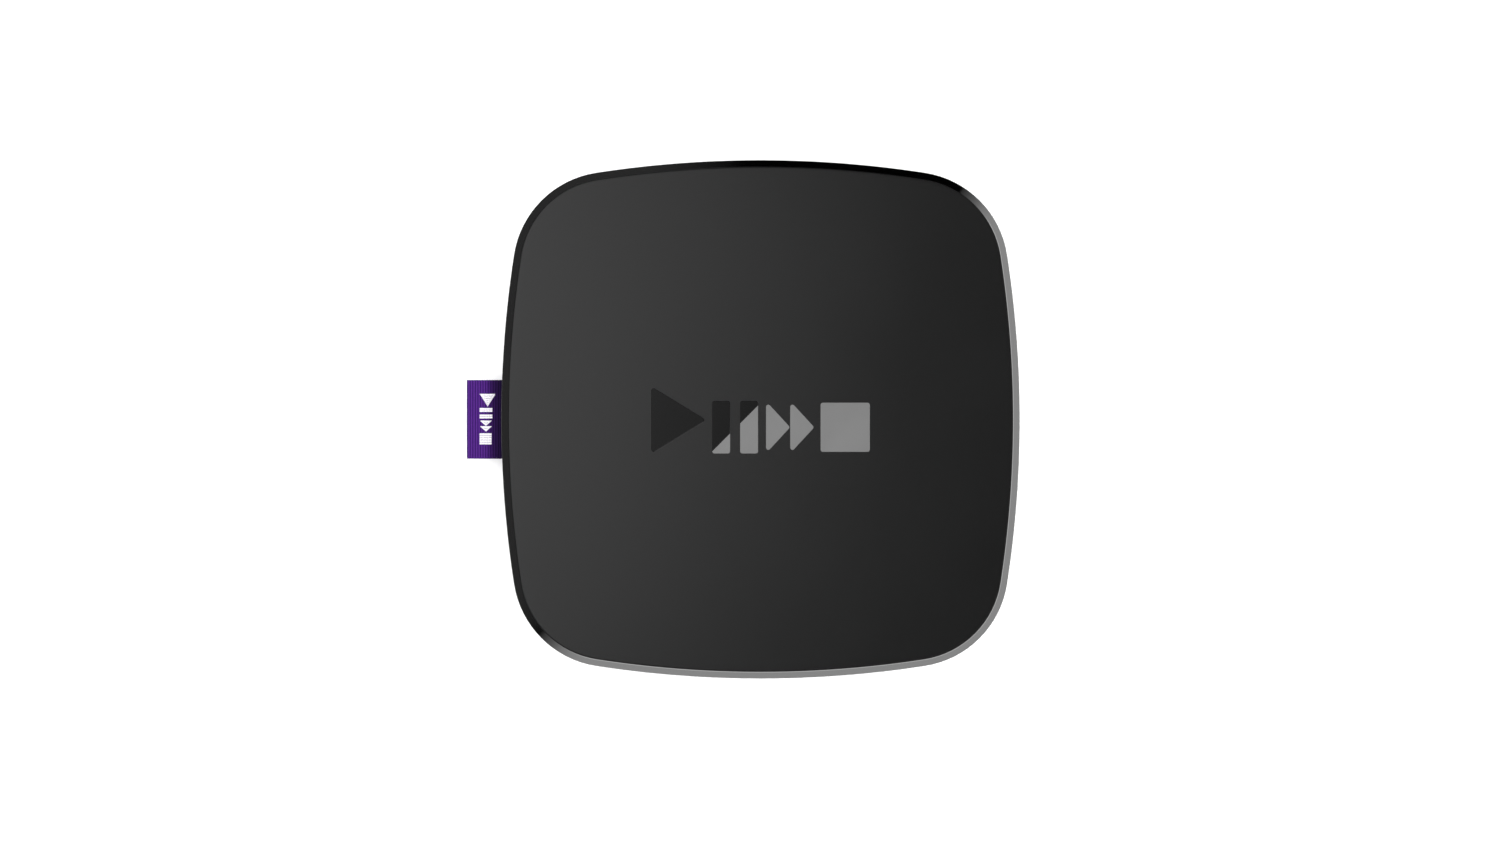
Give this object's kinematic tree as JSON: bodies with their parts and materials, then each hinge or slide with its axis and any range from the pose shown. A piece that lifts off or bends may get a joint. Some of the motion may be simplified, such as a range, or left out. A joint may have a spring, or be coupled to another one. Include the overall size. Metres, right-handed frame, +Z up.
{
  "type": "streaming media player",
  "caption": "Flat rounded-square set-top media player with a bevelled gloss rim, recessed rear port bay, side button and socket, and a folded woven side tag.",
  "frame": {"origin": "centre of the body's outline, on the plane that the foot pad rests on", "axes": "+Z up out of the lid, -X towards the woven tag, +X towards the side button and socket, +Y towards the rear port bay"},
  "size_m": [0.1333, 0.1243, 0.0215],
  "materials": {
    "cover_plastic": "fine satin black on the lid and wall, high gloss on the bevelled rim",
    "base_plastic": "fine spark-eroded matt black",
    "foot_rubber": "matt soft-touch",
    "woven_ribbon": "purple grosgrain weave",
    "black_screw_steel": "black oxide",
    "plated_screw_steel": "bright nickel plate",
    "tinned_steel": "tinned sheet",
    "spreader_aluminium": "stamped satin",
    "contact_gold": "gold flash",
    "board_laminate": "green solder mask on glass-epoxy laminate",
    "chip_epoxy": "fine moulded epoxy",
    "ferrite": "pressed dark grey",
    "thermal_rubber": "soft grey-blue silicone",
    "connector_plastic": "moulded black",
    "white_plastic": "moulded white",
    "clear_plastic": "clear moulded acrylic",
    "ir_epoxy": "dark infra-red-passing epoxy",
    "coax_jacket": "thin black jacket",
    "capacitor_can": "drawn aluminium can"
  },
  "bodies": {
    "housing": {"top_cover": "cover_plastic", "base_tray": "base_plastic", "foot_pad": "foot_rubber", "housing_screw_1": "black_screw_steel", "housing_screw_2": "black_screw_steel", "housing_screw_3": "black_screw_steel", "housing_screw_4": "black_screw_steel", "fabric_tag": "woven_ribbon", "tag_retainer": "base_plastic", "main_board": "board_laminate", "soc_chip": "chip_epoxy", "ram_chip_left": "chip_epoxy", "ram_chip_right": "chip_epoxy", "flash_chip": "chip_epoxy", "power_chip": "chip_epoxy", "power_inductor_1": "ferrite", "power_inductor_2": "ferrite", "clock_crystal": "tinned_steel", "thermal_pad": "thermal_rubber", "heat_spreader": "spreader_aluminium", "board_screw_1": "plated_screw_steel", "board_screw_2": "plated_screw_steel", "board_screw_3": "plated_screw_steel", "board_screw_4": "plated_screw_steel", "wifi_shield": "tinned_steel", "antenna_left": "board_laminate", "antenna_right": "board_laminate", "antenna_plug_left": "contact_gold", "antenna_plug_right": "contact_gold", "antenna_lead_left": "coax_jacket", "antenna_lead_right": "coax_jacket", "hdmi_shell": "tinned_steel", "hdmi_tongue": "connector_plastic", "usb_shell": "tinned_steel", "usb_tongue": "connector_plastic", "ethernet_jack": "tinned_steel", "ethernet_contacts": "contact_gold", "optical_jack": "connector_plastic", "optical_emitter": "clear_plastic", "power_jack": "connector_plastic", "power_jack_pin": "plated_screw_steel", "card_socket": "tinned_steel", "reset_switch": "connector_plastic", "finder_switch": "connector_plastic", "status_led": "white_plastic", "light_pipe": "clear_plastic", "ir_receiver": "ir_epoxy", "network_transformer": "chip_epoxy", "bulk_capacitor_1": "capacitor_can", "bulk_capacitor_2": "capacitor_can"},
    "finder_key": {"finder_button": "cover_plastic", "finder_plunger": "white_plastic"},
    "reset_key": {"reset_plunger": "white_plastic"},
    "optical_flap": {"optical_shutter": "connector_plastic"},
    "card_slide": {"card_ejector": "connector_plastic"}
  },
  "joints": [
    {"name": "finder_press", "type": "slide", "parent": "housing", "child": "finder_key", "axis": [-1, 0, 0], "range_m": [0, 0.0006], "stiffness_N_per_m": 1500},
    {"name": "reset_press", "type": "slide", "parent": "housing", "child": "reset_key", "axis": [0, -1, 0], "range_m": [0, 0.0003], "stiffness_N_per_m": 1500},
    {"name": "optical_flap_swing", "type": "hinge", "parent": "housing", "child": "optical_flap", "pos_m": [-0.0322, 0.0551, 0.0157], "axis": [-1, 0, 0], "range_deg": [0, 85], "stiffness_Nm_per_rad": 0.0006},
    {"name": "card_push", "type": "slide", "parent": "housing", "child": "card_slide", "axis": [0, -1, 0], "range_m": [0, 0.001], "stiffness_N_per_m": 400}
  ]
}
